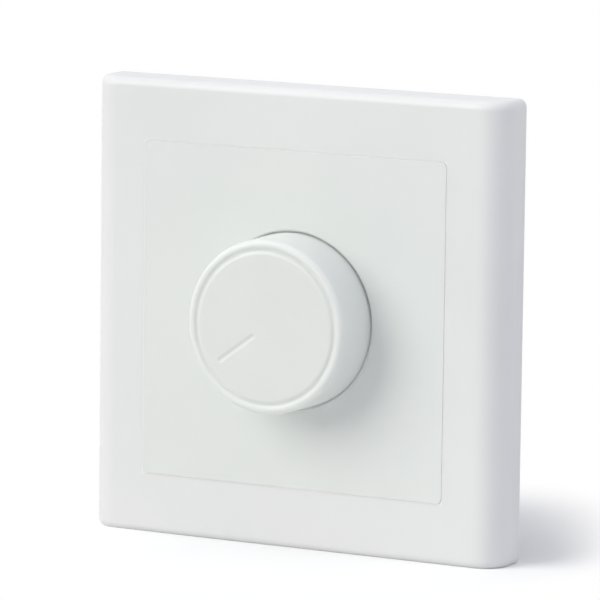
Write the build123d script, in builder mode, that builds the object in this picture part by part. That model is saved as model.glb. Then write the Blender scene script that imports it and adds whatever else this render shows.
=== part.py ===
import math
import os

from build123d import *

os.makedirs("parts", exist_ok=True)

# Rotary push dimmer for a square wall plate
# Millimetres, Z up, the front faces -Y and y = 0 is the wall

# Cover frame
plate_size = 86.0
frame_depth = 9.0
side_radius = 5.0  # left and right front edges
edge_radius = 1.6  # top and bottom edges
frame_wall = 2.4
seat_rim_radius = 0.04
ledge_thickness = 2.0
ledge_reach = 3.2  # how far the ledge stands in under the centre plate
ledge_root = 2.0

# Centre plate
panel_size = 62.9
panel_proud = 0.1
panel_corner = 1.0
panel_edge_radius = 0.08
panel_edge_depth = 2.9
panel_wall = 2.2
panel_rim = 2.1
panel_gap = 0.025  # clearance to the frame, all round
panel_rib_count = 4
panel_rib_thickness = 1.2
panel_rib_depth = 2.0
panel_rib_gap = 0.5  # clearance to the frame's ledge

# Well that the knob sits in
well_radius = 16.6
well_depth = 4.3
well_wall = 1.6
well_floor_thickness = 1.6
well_rim_radius = 0.45

# Knob
knob_gap = 0.2  # clearance to the well, all round
knob_standing = 10.5
knob_sunk = 2.3
knob_taper = 0.25
knob_wall = 2.0
knob_face_wall = 2.4
lip_radius = 0.95
disc_edge_radius = 0.95
ring_groove_depth = 0.3
ring_groove_floor = 0.35
pointer_angle = 216.0  # from +X, anticlockwise seen from the front
pointer_start = 2.4
pointer_end = 12.0
pointer_width = 1.3
pointer_depth = 0.16
pointer_flank = 75.0
boss_radius = 5.2
knob_rib_count = 6
knob_rib_thickness = 1.0
knob_rib_depth = 3.0
bore_gap = 0.02
clip_thickness = 0.35
clip_width = 4.4
clip_length = 5.0
push_travel = 1.6

# Support plate that is screwed to the wall box
support_size = 71.0
support_thickness = 1.2
support_corner = 3.0
box_screw_spacing = 60.3
box_slot_width = 4.2
box_slot_length = 8.0
collar_gap = 0.2

# Module case
case_size = 50.0
case_corner = 2.0
case_edge_radius = 1.0  # round the back
case_wall = 1.6
lid_thickness = 2.0
collar_radius = 9.0
post_inset = 3.5  # from the side of the case to the axis of a post
post_radius = 2.8
post_foot_radius = 4.0
case_screw_radius = 1.25
case_screw_gap = 0.15
case_screw_reach = 8.0
case_screw_head_radius = 2.3
case_screw_head = 1.3
screw_slot_width = 0.6
screw_slot_depth = 0.6
vent_count = 5  # slots above, and as many below
vent_pitch = 4.4
vent_width = 1.6
vent_length = 10.0

# Potentiometer
shaft_radius = 3.0
shaft_gap = 0.05  # running clearance in the bushing
shaft_flat = 1.5  # from the axis to the flat
shaft_end_gap = 0.2
stop_gap = 0.3  # between parts that move past each other
bushing_radius = 4.5
bushing_gap = 0.1
bushing_proud = 0.6
flange_radius = 8.3
flange_thickness = 1.4
washer_radius = 7.5
washer_thickness = 0.6
nut_flats = 12.0
nut_thickness = 2.4
stop_collar_radius = 3.8
stop_collar_thickness = 0.7
tang_width = 3.6
tang_gap = 0.1
rotor_radius = 7.0
rotor_thickness = 1.2
rotor_hub_radius = 4.12
rotor_hub_gap = 0.08
wiper_inner = 4.6
wiper_outer = 6.8
wiper_width = 4.0
wiper_thickness = 0.3
wiper_tip = 0.4
wiper_tip_radius = 0.5
contact_gap = 0.1
track_thickness = 0.8
can_wall = 0.5
can_mouth = 0.2
pot_pin_pitch = 3.0
pot_pin_width = 1.0
pot_pin_thickness = 0.5
pot_pin_out = 10.2  # from the axis to the outer face of the pins
pot_pin_lap = 7.2

# Push switch behind the potentiometer
switch_size = 16.0
switch_corner = 1.0
switch_wall = 1.4
switch_back_wall = 1.0
plunger_thickness = 1.8
plunger_lead = 0.8
plunger_gap = 0.3
bridge_length = 11.0
bridge_width = 3.6
bridge_thickness = 0.4
blade_offset = 4.6
blade_width = 2.4
blade_thickness = 1.2
spring_length = 3.6
spring_radius = 2.2
spring_wire = 0.22
spring_turns = 3.0

# Circuit board and what stands on it
board_gap = 0.3  # clearance to the case, all round
board_thickness = 1.6
board_post_gap = 0.15
lead_stick = 1.2
lead_size = 0.7
lead_thin = 0.6
lead_block_gap = 0.65  # from a lead to the terminal block
triac_width = 8.0
triac_length = 11.0
triac_depth = 3.0
triac_lift = 2.5
triac_lead_pitch = 2.3
triac_hole_radius = 1.6
triac_hole_drop = 3.8
triac_screw_radius = 1.5
triac_screw_head_radius = 2.7
triac_screw_head = 1.8
sink_post_gap = 2.7
sink_wall_gap = 0.4
sink_width = 22.0
sink_height = 13.2
sink_thickness = 2.0
sink_foot = 4.0
sink_foot_thickness = 1.5
choke_wall_gap = 0.9
choke_sink_gap = 1.0
choke_height = 12.2
choke_radius = 6.0
choke_core_radius = 3.0
choke_flange = 1.2
choke_winding_radius = 5.3
choke_pin_offset = 4.95
choke_notch = 1.2
film_wall_gap = 0.9
film_width = 10.0
film_depth = 5.0
film_height = 10.0
film_pitch = 7.5
timing_wall_gap = 3.8
timing_width = 7.2
timing_depth = 2.6
timing_height = 6.5
timing_pitch = 5.0
axial_lift = 1.7
axial_step = 3.5  # from one axial piece to the next
resistor_radius = 1.15
resistor_length = 6.2
resistor_span = 10.0
diac_wall_gap = 2.9
diac_radius = 0.9
diac_length = 4.0
diac_span = 8.0
fuse_wall_gap = 0.9
fuse_lift = 4.6
fuse_length = 20.0
fuse_radius = 2.6
fuse_glass_radius = 2.3
fuse_bore_radius = 1.8
fuse_cap_length = 5.2
fuse_cap_wall = 0.4
fuse_wire_radius = 0.15
fuse_clip_width = 4.0
fuse_clip_wall = 0.4
fuse_clip_rise = 6.6

# Wire terminals
terminal_pitch = 7.6
terminal_count = 3
terminal_block_width = 24.0
terminal_block_height = 12.0
terminal_block_depth = 10.0
terminal_gap = 0.15
wire_radius = 2.0
clamp_width = 5.5
clamp_height = 5.6
clamp_gap = 0.2
clamp_wall = 0.8
clamp_front_wall = 1.0
clamp_back_wall = 1.2
clamp_top = 1.4  # block above the chamber
clamp_lift = 0.8
terminal_back_wall = 2.4
terminal_pin_width = 1.0
terminal_pin_thickness = 0.8
terminal_pin_stick = 1.0
terminal_screw_radius = 1.5
terminal_screw_head_radius = 2.3
terminal_screw_head = 1.8
terminal_screw_hole_radius = 2.5
terminal_screw_sunk = 0.3
terminal_screw_reach = 1.6

# Depths of the faces, counted into the wall
frame_front = -frame_depth
hollow_front = frame_front + frame_wall
panel_front = frame_front - panel_proud
panel_back = panel_front + panel_wall
seat_depth = panel_front + panel_edge_depth
ledge_back = seat_depth + ledge_thickness
well_floor = panel_front + well_depth
collar_front = well_floor + well_floor_thickness
washer_front = well_floor - washer_thickness
nut_front = washer_front - nut_thickness
bushing_front = nut_front - bushing_proud
knob_front = panel_front - knob_standing
knob_back = panel_front + knob_sunk
knob_inside = knob_front + knob_face_wall
boss_back = bushing_front - push_travel - stop_gap
shaft_front = knob_inside + shaft_end_gap
shaft_flat_end = boss_back + push_travel / 2
lid_back = lid_thickness
flange_back = lid_back + flange_thickness
stop_front = flange_back + stop_gap
stop_back = stop_front + stop_collar_thickness
rotor_front = stop_back + push_travel + stop_gap
rotor_back = rotor_front + rotor_thickness
wiper_back = rotor_back + wiper_thickness + wiper_tip
track_front = wiper_back + contact_gap
track_back = track_front + track_thickness
can_back = track_back + can_wall
plunger_front = can_back + plunger_lead
plunger_back = plunger_front + plunger_thickness
shaft_back = plunger_front - contact_gap
bridge_back = plunger_back + bridge_thickness
blade_front = bridge_back + push_travel + contact_gap
switch_floor = bridge_back + spring_length
board_front = switch_floor + switch_back_wall
board_back = board_front + board_thickness
lead_end = board_back + lead_stick
case_back = board_back + terminal_block_depth
case_floor = case_back - case_wall

# Sizes that follow from the ones above
hollow_size = plate_size - 2 * frame_wall
hollow_radius = side_radius - frame_wall
seat_size = panel_size + 2 * panel_gap
opening_size = seat_size - 2 * ledge_reach
knob_base_radius = well_radius - knob_gap
knob_front_radius = knob_base_radius - knob_taper
knob_bore_radius = shaft_radius + bore_gap
case_inner = case_size - 2 * case_wall
board_size = case_inner - 2 * board_gap
post_offset = case_size / 2 - post_inset
can_radius = flange_radius + can_wall
track_hole_radius = rotor_hub_radius + rotor_hub_gap
switch_inner = switch_size - 2 * switch_wall
plunger_size = switch_inner - 2 * plunger_gap
post_spots = [(x, z) for x in (-post_offset, post_offset) for z in (-post_offset, post_offset)]
post_edge = post_offset - post_radius
terminal_bottom = -case_size / 2
terminal_top = terminal_bottom + terminal_block_height

# Places on the board, from the case walls, the posts and the terminal block
sink_x = post_edge - sink_post_gap - sink_width / 2
sink_z = case_inner / 2 - sink_wall_gap - sink_foot
choke_x = choke_wall_gap + choke_radius - case_inner / 2
choke_z = sink_z - choke_sink_gap - choke_radius
film_x = case_inner / 2 - film_wall_gap - film_width / 2
film_z = terminal_top + lead_block_gap + lead_size / 2
timing_x = timing_wall_gap + timing_width / 2 - case_inner / 2
timing_z = terminal_top + lead_block_gap + lead_thin / 2
axial_z = (choke_z - choke_radius + timing_z + timing_depth / 2) / 2
diac_x = diac_wall_gap + diac_radius - case_inner / 2
resistor_xs = [diac_x + axial_step, diac_x + 2 * axial_step]
fuse_clip_outer = 2 * fuse_radius + 2 * fuse_clip_wall
fuse_x = case_inner / 2 - fuse_wall_gap - fuse_clip_outer / 2
fuse_z = (film_z + film_depth / 2 + post_edge) / 2


# Sketch plane across the depth axis, seen from the front
def room_plane(depth):
    return Plane.XZ.offset(-depth)


# The same plane turned so that its x axis runs along the knob's pointer
def pointer_plane(depth):
    along = (math.cos(math.radians(pointer_angle)), 0, math.sin(math.radians(pointer_angle)))
    return Plane(origin=(0, depth, 0), x_dir=along, z_dir=(0, -1, 0))


# Flat tang of the shaft, grown by a clearance
def tang_outline(gap):
    with BuildSketch() as outline:
        Circle(shaft_radius + gap)
        Rectangle(tang_width + 2 * gap, 2 * (shaft_radius + gap), mode=Mode.INTERSECT)
    return outline.sketch


# Cover frame
with BuildPart() as cover_frame:
    with BuildSketch(Plane.XY):
        with Locations((0, frame_front / 2)):
            Rectangle(plate_size, frame_depth)
        fillet(vertices().group_by(Axis.Y)[0], radius=side_radius)
    extrude(amount=plate_size / 2, both=True)
    end_edges = faces().filter_by(Axis.Z).edges()
    fillet(end_edges.filter_by(lambda edge: edge.center().Y < -edge_radius / 2), radius=edge_radius)
    with BuildSketch(Plane.XY):
        with Locations((0, hollow_front / 2)):
            Rectangle(hollow_size, -hollow_front)
        fillet(vertices().group_by(Axis.Y)[0], radius=hollow_radius)
    extrude(amount=hollow_size / 2, both=True, mode=Mode.SUBTRACT)
    with BuildSketch(room_plane(ledge_back)):
        Rectangle(seat_size + 2 * ledge_root, seat_size + 2 * ledge_root)
    extrude(amount=ledge_back - hollow_front)
    with BuildSketch(room_plane(seat_depth)):
        RectangleRounded(seat_size, seat_size, radius=panel_corner + panel_gap)
    extrude(amount=seat_depth - frame_front, mode=Mode.SUBTRACT)
    with BuildSketch(room_plane(ledge_back)):
        Rectangle(opening_size, opening_size)
    extrude(amount=ledge_thickness, mode=Mode.SUBTRACT)
    front_edges = edges().group_by(Axis.Y)[0]
    seat_reach = seat_size / 2 + panel_gap
    seat_rim = front_edges.filter_by(lambda edge: abs(edge.center().X) < seat_reach)
    seat_rim = seat_rim.filter_by(lambda edge: abs(edge.center().Z) < seat_reach)
    fillet(seat_rim, radius=seat_rim_radius)
cover_frame.part.label = "cover_frame"
export_step(cover_frame.part, "parts/cover_frame.step")

# Centre plate with the knob well and the ribs round it
with BuildPart() as centre_plate:
    with BuildSketch(room_plane(seat_depth)):
        RectangleRounded(panel_size, panel_size, radius=panel_corner)
    extrude(amount=panel_edge_depth)
    fillet(faces().sort_by(Axis.Y)[0].edges(), radius=panel_edge_radius)
    with BuildSketch(room_plane(seat_depth)):
        Rectangle(panel_size - 2 * panel_rim, panel_size - 2 * panel_rim)
    extrude(amount=seat_depth - panel_back, mode=Mode.SUBTRACT)
    with BuildSketch(room_plane(collar_front)):
        Circle(well_radius + well_wall)
    extrude(amount=collar_front - panel_back)
    rib_end = opening_size / 2 - panel_rib_gap
    with BuildSketch(room_plane(panel_back + panel_rib_depth)):
        with PolarLocations((well_radius + rib_end) / 2, panel_rib_count):
            Rectangle(rib_end - well_radius, panel_rib_thickness)
    extrude(amount=panel_rib_depth)
    with BuildSketch(room_plane(well_floor)):
        Circle(well_radius)
    extrude(amount=well_depth, mode=Mode.SUBTRACT)
    well_circles = edges().filter_by(GeomType.CIRCLE)
    well_circles = well_circles.filter_by(lambda edge: abs(edge.radius - well_radius) < panel_gap)
    fillet(well_circles.group_by(Axis.Y)[0], radius=well_rim_radius)
    with BuildSketch(room_plane(collar_front)):
        Circle(bushing_radius + bushing_gap)
    extrude(amount=well_floor_thickness, mode=Mode.SUBTRACT)
centre_plate.part.label = "centre_plate"
export_step(centre_plate.part, "parts/centre_plate.step")

# Knob, turned profile with a ring groove, ribs inside, a D-shaped bore and a pointer groove
lip_turn = math.acos(1 - ring_groove_depth / lip_radius)
disc_turn = math.acos(1 - ring_groove_depth / disc_edge_radius)
lip_crest = knob_front_radius - lip_radius
ring_outer = lip_crest - lip_radius * math.sin(lip_turn)
ring_inner = ring_outer - ring_groove_floor
ring_floor = knob_front + ring_groove_depth
disc_radius = ring_inner - disc_edge_radius * math.sin(disc_turn)
disc_turn_degrees = math.degrees(disc_turn)
lip_turn_degrees = math.degrees(lip_turn)
with BuildPart() as knob:
    with BuildSketch(Plane.XY):
        with BuildLine():
            Line((0, knob_front), (disc_radius, knob_front))
            disc_centre = (disc_radius, knob_front + disc_edge_radius)
            CenterArc(disc_centre, disc_edge_radius, -90, disc_turn_degrees)
            Line((ring_inner, ring_floor), (ring_outer, ring_floor))
            lip_centre = (lip_crest, knob_front + lip_radius)
            CenterArc(lip_centre, lip_radius, -90 - lip_turn_degrees, 90 + lip_turn_degrees)
            Line((knob_front_radius, knob_front + lip_radius), (knob_base_radius, knob_back))
            skirt_inner = knob_front_radius - knob_wall
            Polyline((knob_base_radius, knob_back), (skirt_inner, knob_back), (skirt_inner, knob_inside))
            Polyline((skirt_inner, knob_inside), (boss_radius, knob_inside), (boss_radius, boss_back))
            Polyline((boss_radius, boss_back), (0, boss_back), (0, knob_front))
        make_face()
    revolve(axis=Axis.Y)
    with BuildSketch(pointer_plane(knob_inside + knob_rib_depth)):
        with PolarLocations((boss_radius + skirt_inner) / 2, knob_rib_count):
            Rectangle(skirt_inner - boss_radius + knob_wall, knob_rib_thickness)
    extrude(amount=knob_rib_depth)
    with BuildSketch(pointer_plane(boss_back)):
        Circle(knob_bore_radius)
        with Locations((-shaft_flat - clip_thickness - shaft_radius / 2, 0)):
            Rectangle(shaft_radius, 2 * knob_bore_radius, mode=Mode.SUBTRACT)
    extrude(amount=boss_back - knob_inside, mode=Mode.SUBTRACT)
    with BuildSketch(pointer_plane(knob_front)):
        with Locations(((pointer_start + pointer_end) / 2, 0)):
            SlotOverall(pointer_end - pointer_start, pointer_width)
    extrude(amount=-pointer_depth, taper=pointer_flank, mode=Mode.SUBTRACT)
knob.part.label = "knob"
export_step(knob.part, "parts/knob.step")

# Leaf that grips the flat of the shaft
with BuildPart() as knob_spring_clip:
    with BuildSketch(pointer_plane(shaft_flat_end - push_travel)):
        with Locations((-shaft_flat - clip_thickness / 2, 0)):
            Rectangle(clip_thickness, clip_width)
    extrude(amount=clip_length)
knob_spring_clip.part.label = "knob_spring_clip"
export_step(knob_spring_clip.part, "parts/knob_spring_clip.step")

# Support plate with the two oblong slots for the box screws
with BuildPart() as support_plate:
    with BuildSketch(room_plane(0)):
        RectangleRounded(support_size, support_size, radius=support_corner)
        Circle(collar_radius + collar_gap, mode=Mode.SUBTRACT)
        with Locations((-box_screw_spacing / 2, 0), (box_screw_spacing / 2, 0)):
            SlotOverall(box_slot_length, box_slot_width, mode=Mode.SUBTRACT)
        with Locations(*post_spots):
            Circle(case_screw_radius + case_screw_gap, mode=Mode.SUBTRACT)
    extrude(amount=support_thickness)
support_plate.part.label = "support_plate"
export_step(support_plate.part, "parts/support_plate.step")

# Module lid with the collar that carries the centre plate
with BuildPart() as module_lid:
    with BuildSketch(room_plane(lid_back)):
        RectangleRounded(case_size, case_size, radius=case_corner)
        with Locations(*post_spots):
            Circle(case_screw_radius + case_screw_gap, mode=Mode.SUBTRACT)
    extrude(amount=lid_thickness)
    with BuildSketch(room_plane(0)):
        Circle(collar_radius)
    extrude(amount=-collar_front)
    with BuildSketch(room_plane(lid_back)):
        Circle(bushing_radius + bushing_gap)
    extrude(amount=lid_back - collar_front, mode=Mode.SUBTRACT)
module_lid.part.label = "module_lid"
export_step(module_lid.part, "parts/module_lid.step")

# Module case, a tub with four posts, a notch for the terminal block and vent slots
notch_width = terminal_block_width + 2 * terminal_gap
notch_height = terminal_block_height + terminal_gap
with BuildPart() as module_case:
    with BuildSketch(room_plane(case_back)):
        RectangleRounded(case_size, case_size, radius=case_corner)
    extrude(amount=case_back - lid_back)
    fillet(faces().sort_by(Axis.Y)[-1].edges(), radius=case_edge_radius)
    with BuildSketch(room_plane(case_floor)):
        Rectangle(case_inner, case_inner)
    extrude(amount=case_floor - lid_back, mode=Mode.SUBTRACT)
    with BuildSketch(room_plane(case_floor)):
        with Locations(*post_spots):
            Circle(post_foot_radius)
        Rectangle(case_size - case_wall, case_size - case_wall, mode=Mode.INTERSECT)
    extrude(amount=case_floor - board_back)
    with BuildSketch(room_plane(board_back)):
        with Locations(*post_spots):
            Circle(post_radius)
        Rectangle(case_size - case_wall, case_size - case_wall, mode=Mode.INTERSECT)
    extrude(amount=board_back - lid_back)
    with BuildSketch(room_plane(lid_back)):
        with Locations(*post_spots):
            Circle(case_screw_radius)
    extrude(amount=-case_screw_reach, mode=Mode.SUBTRACT)
    with BuildSketch(room_plane(case_back)):
        with Locations((0, (notch_height - case_size) / 2)):
            Rectangle(notch_width, notch_height)
    extrude(amount=terminal_block_depth + terminal_gap, mode=Mode.SUBTRACT)
    with BuildSketch(Plane.XY):
        with Locations((0, (lid_back + board_front) / 2)):
            with GridLocations(vent_pitch, 0, vent_count, 1):
                SlotOverall(vent_length, vent_width, rotation=90)
    extrude(amount=case_size / 2, both=True, mode=Mode.SUBTRACT)
module_case.part.label = "module_case"
export_step(module_case.part, "parts/module_case.step")

# Four screws through support plate and lid into the posts
with BuildPart() as case_screws:
    with BuildSketch(room_plane(lid_back + case_screw_reach)):
        with Locations(*post_spots):
            Circle(case_screw_radius)
    extrude(amount=lid_back + case_screw_reach + support_thickness)
    with BuildSketch(room_plane(-support_thickness)):
        with Locations(*post_spots):
            Circle(case_screw_head_radius)
    extrude(amount=case_screw_head)
    with BuildSketch(room_plane(-support_thickness - case_screw_head)):
        with Locations(*post_spots):
            Rectangle(2 * case_screw_head_radius, screw_slot_width)
    extrude(amount=-screw_slot_depth, mode=Mode.SUBTRACT)
case_screws.part.label = "case_screws"
export_step(case_screws.part, "parts/case_screws.step")

# Bushing with the front plate of the potentiometer
with BuildPart() as pot_bushing:
    with BuildSketch(room_plane(flange_back)):
        Circle(flange_radius)
    extrude(amount=flange_thickness)
    with BuildSketch(room_plane(lid_back)):
        Circle(bushing_radius)
    extrude(amount=lid_back - bushing_front)
    with BuildSketch(room_plane(flange_back)):
        Circle(shaft_radius + shaft_gap)
    extrude(amount=flange_back - bushing_front, mode=Mode.SUBTRACT)
pot_bushing.part.label = "pot_bushing"
export_step(pot_bushing.part, "parts/pot_bushing.step")

# Washer and nut that clamp the centre plate
with BuildPart() as pot_washer:
    with BuildSketch(room_plane(well_floor)):
        Circle(washer_radius)
        Circle(bushing_radius + bushing_gap, mode=Mode.SUBTRACT)
    extrude(amount=washer_thickness)
pot_washer.part.label = "pot_washer"
export_step(pot_washer.part, "parts/pot_washer.step")

with BuildPart() as pot_nut:
    with BuildSketch(room_plane(washer_front)):
        RegularPolygon(nut_flats / 2, 6, major_radius=False)
        Circle(bushing_radius, mode=Mode.SUBTRACT)
    extrude(amount=nut_thickness)
pot_nut.part.label = "pot_nut"
export_step(pot_nut.part, "parts/pot_nut.step")

# Shaft with a flat for the knob, a stop collar and a flat tang
with BuildPart() as pot_shaft:
    with BuildSketch(pointer_plane(stop_back)):
        Circle(shaft_radius)
    extrude(amount=stop_back - shaft_front)
    with BuildSketch(pointer_plane(stop_back)):
        Circle(stop_collar_radius)
    extrude(amount=stop_collar_thickness)
    with BuildSketch(pointer_plane(shaft_back)):
        add(tang_outline(0))
    extrude(amount=shaft_back - stop_back)
    with BuildSketch(pointer_plane(shaft_flat_end)):
        with Locations((-shaft_flat - shaft_radius / 2, 0)):
            Rectangle(shaft_radius, 2 * shaft_radius)
    extrude(amount=shaft_flat_end - shaft_front, mode=Mode.SUBTRACT)
pot_shaft.part.label = "pot_shaft"
export_step(pot_shaft.part, "parts/pot_shaft.step")

# Rotor that the tang slides through, with its hub in the track's hole
with BuildPart() as pot_rotor:
    with BuildSketch(pointer_plane(rotor_back)):
        Circle(rotor_radius)
    extrude(amount=rotor_thickness)
    with BuildSketch(pointer_plane(track_back)):
        Circle(rotor_hub_radius)
    extrude(amount=track_back - rotor_back)
    with BuildSketch(pointer_plane(track_back)):
        add(tang_outline(tang_gap))
    extrude(amount=track_back - rotor_front, mode=Mode.SUBTRACT)
pot_rotor.part.label = "pot_rotor"
export_step(pot_rotor.part, "parts/pot_rotor.step")

# Wiper leaf on the rotor, with its contact tip
with BuildPart() as pot_wiper:
    with BuildSketch(pointer_plane(rotor_back + wiper_thickness)):
        with Locations(((wiper_inner + wiper_outer) / 2, 0)):
            Rectangle(wiper_outer - wiper_inner, wiper_width)
        Circle(wiper_outer, mode=Mode.INTERSECT)
    extrude(amount=wiper_thickness)
    with BuildSketch(pointer_plane(wiper_back)):
        with Locations(((wiper_inner + wiper_outer) / 2, 0)):
            Circle(wiper_tip_radius)
    extrude(amount=wiper_tip)
pot_wiper.part.label = "pot_wiper"
export_step(pot_wiper.part, "parts/pot_wiper.step")

# Track plate
with BuildPart() as pot_track:
    with BuildSketch(room_plane(track_back)):
        Circle(flange_radius)
        Circle(track_hole_radius, mode=Mode.SUBTRACT)
    extrude(amount=track_thickness)
pot_track.part.label = "pot_track"
export_step(pot_track.part, "parts/pot_track.step")

# Three bent pins from the track to the board
pot_pin_xs = [-pot_pin_pitch, 0, pot_pin_pitch]
with BuildPart() as pot_terminals:
    with BuildSketch(room_plane(track_front)):
        with Locations(*[(x, -(pot_pin_lap + pot_pin_out) / 2) for x in pot_pin_xs]):
            Rectangle(pot_pin_width, pot_pin_out - pot_pin_lap)
    extrude(amount=pot_pin_thickness)
    with BuildSketch(room_plane(lead_end)):
        with Locations(*[(x, -pot_pin_out + pot_pin_thickness / 2) for x in pot_pin_xs]):
            Rectangle(pot_pin_width, pot_pin_thickness)
    extrude(amount=lead_end - track_front + pot_pin_thickness)
pot_terminals.part.label = "pot_terminals"
export_step(pot_terminals.part, "parts/pot_terminals.step")

# Metal can round the potentiometer, slotted for the pins
with BuildPart() as pot_can:
    with BuildSketch(room_plane(can_back)):
        Circle(can_radius)
    extrude(amount=can_back - lid_back - can_mouth)
    with BuildSketch(room_plane(track_back)):
        Circle(flange_radius)
    extrude(amount=track_back - lid_back - can_mouth, mode=Mode.SUBTRACT)
    with BuildSketch(room_plane(can_back)):
        Circle(stop_collar_radius)
    extrude(amount=can_wall, mode=Mode.SUBTRACT)
    with BuildSketch(room_plane(track_front)):
        with Locations((0, -can_radius)):
            Rectangle(2 * pot_pin_pitch + 2 * pot_pin_width, 2 * can_radius - 2 * pot_pin_lap)
    extrude(amount=2 * pot_pin_thickness, mode=Mode.SUBTRACT)
pot_can.part.label = "pot_can"
export_step(pot_can.part, "parts/pot_can.step")

# Two fixed contacts of the switch, through its back into the board
blade_spots = [(-blade_offset, 0), (blade_offset, 0)]
with BuildPart() as switch_contacts:
    with BuildSketch(room_plane(lead_end)):
        with Locations(*blade_spots):
            Rectangle(blade_thickness, blade_width)
    extrude(amount=lead_end - blade_front)
switch_contacts.part.label = "switch_contacts"
export_step(switch_contacts.part, "parts/switch_contacts.step")

# Switch case
with BuildPart() as switch_case:
    with BuildSketch(room_plane(board_front)):
        RectangleRounded(switch_size, switch_size, radius=switch_corner)
    extrude(amount=board_front - can_back)
    with BuildSketch(room_plane(switch_floor)):
        Rectangle(switch_inner, switch_inner)
    extrude(amount=switch_floor - can_back, mode=Mode.SUBTRACT)
    add(switch_contacts.part, mode=Mode.SUBTRACT)
switch_case.part.label = "switch_case"
export_step(switch_case.part, "parts/switch_case.step")

# Plunger, bridge and spring
with BuildPart() as switch_plunger:
    with BuildSketch(room_plane(plunger_back)):
        RectangleRounded(plunger_size, plunger_size, radius=switch_corner)
    extrude(amount=plunger_thickness)
switch_plunger.part.label = "switch_plunger"
export_step(switch_plunger.part, "parts/switch_plunger.step")

with BuildPart() as switch_bridge:
    with BuildSketch(room_plane(bridge_back)):
        Rectangle(bridge_length, bridge_width)
    extrude(amount=bridge_thickness)
switch_bridge.part.label = "switch_bridge"
export_step(switch_bridge.part, "parts/switch_bridge.step")

coil_rise = spring_length - 2 * spring_wire
with BuildPart() as switch_spring:
    with BuildLine():
        coil = Helix(
            pitch=coil_rise / spring_turns,
            height=coil_rise,
            radius=spring_radius,
            center=(0, bridge_back + spring_wire, 0),
            direction=(0, 1, 0),
        )
    with BuildSketch(Plane(origin=coil @ 0, z_dir=coil % 0)):
        Circle(spring_wire)
    sweep()
switch_spring.part.label = "switch_spring"
export_step(switch_spring.part, "parts/switch_spring.step")

# Triac body with its screw hole
triac_back = board_front - triac_lift
triac_hole_depth = triac_back - triac_length + triac_hole_drop
triac_z = sink_z - triac_depth / 2
with BuildPart() as triac:
    with BuildSketch(room_plane(triac_back)):
        with Locations((sink_x, triac_z)):
            Rectangle(triac_width, triac_depth)
    extrude(amount=triac_length)
    with BuildSketch(Plane.XY.offset(sink_z)):
        with Locations((sink_x, triac_hole_depth)):
            Circle(triac_hole_radius)
    extrude(amount=-triac_depth, mode=Mode.SUBTRACT)
triac.part.label = "triac"
export_step(triac.part, "parts/triac.step")

with BuildPart() as triac_leads:
    with BuildSketch(room_plane(lead_end)):
        with Locations((sink_x, triac_z)):
            with GridLocations(triac_lead_pitch, 0, 3, 1):
                Rectangle(lead_size, lead_thin)
    extrude(amount=lead_end - triac_back)
triac_leads.part.label = "triac_leads"
export_step(triac_leads.part, "parts/triac_leads.step")

# Screw that holds the triac to the heat sink
with BuildPart() as triac_screw:
    with BuildSketch(Plane.XY.offset(sink_z + sink_thickness)):
        with Locations((sink_x, triac_hole_depth)):
            Circle(triac_screw_radius)
    extrude(amount=-triac_depth - sink_thickness)
    with BuildSketch(Plane.XY.offset(sink_z - triac_depth)):
        with Locations((sink_x, triac_hole_depth)):
            Circle(triac_screw_head_radius)
    extrude(amount=-triac_screw_head)
    with BuildSketch(Plane.XY.offset(sink_z - triac_depth - triac_screw_head)):
        with Locations((sink_x, triac_hole_depth)):
            Rectangle(2 * triac_screw_head_radius, screw_slot_width)
    extrude(amount=screw_slot_depth, mode=Mode.SUBTRACT)
triac_screw.part.label = "triac_screw"
export_step(triac_screw.part, "parts/triac_screw.step")

# Heat sink, an angle standing on the board
with BuildPart() as heat_sink:
    with BuildSketch(room_plane(board_front)):
        with Locations((sink_x, sink_z + sink_thickness / 2)):
            Rectangle(sink_width, sink_thickness)
    extrude(amount=sink_height)
    with BuildSketch(room_plane(board_front)):
        with Locations((sink_x, sink_z + sink_foot / 2)):
            Rectangle(sink_width, sink_foot)
    extrude(amount=sink_foot_thickness)
    with BuildSketch(Plane.XY.offset(sink_z)):
        with Locations((sink_x, triac_hole_depth)):
            Circle(triac_screw_radius)
    extrude(amount=sink_thickness, mode=Mode.SUBTRACT)
heat_sink.part.label = "heat_sink"
export_step(heat_sink.part, "parts/heat_sink.step")

# Choke: winding with two pins, then the notched drum core
choke_pins = [(choke_x - choke_pin_offset, choke_z), (choke_x + choke_pin_offset, choke_z)]
with BuildPart() as choke_winding:
    with BuildSketch(room_plane(board_front - choke_flange)):
        with Locations((choke_x, choke_z)):
            Circle(choke_winding_radius)
            Circle(choke_core_radius, mode=Mode.SUBTRACT)
    extrude(amount=choke_height - 2 * choke_flange)
    with BuildSketch(room_plane(lead_end)):
        with Locations(*choke_pins):
            Rectangle(lead_size, lead_size)
    extrude(amount=lead_end - board_front + choke_flange)
choke_winding.part.label = "choke_winding"
export_step(choke_winding.part, "parts/choke_winding.step")

with BuildPart() as choke_core:
    with BuildSketch(room_plane(board_front)):
        with Locations((choke_x, choke_z)):
            Circle(choke_radius)
        with Locations(*choke_pins):
            Rectangle(2 * choke_notch, choke_notch, mode=Mode.SUBTRACT)
    extrude(amount=choke_flange)
    with BuildSketch(room_plane(board_front)):
        with Locations((choke_x, choke_z)):
            Circle(choke_core_radius)
    extrude(amount=choke_height)
    with BuildSketch(room_plane(board_front - choke_height + choke_flange)):
        with Locations((choke_x, choke_z)):
            Circle(choke_radius)
    extrude(amount=choke_flange)
choke_core.part.label = "choke_core"
export_step(choke_core.part, "parts/choke_core.step")

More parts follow.
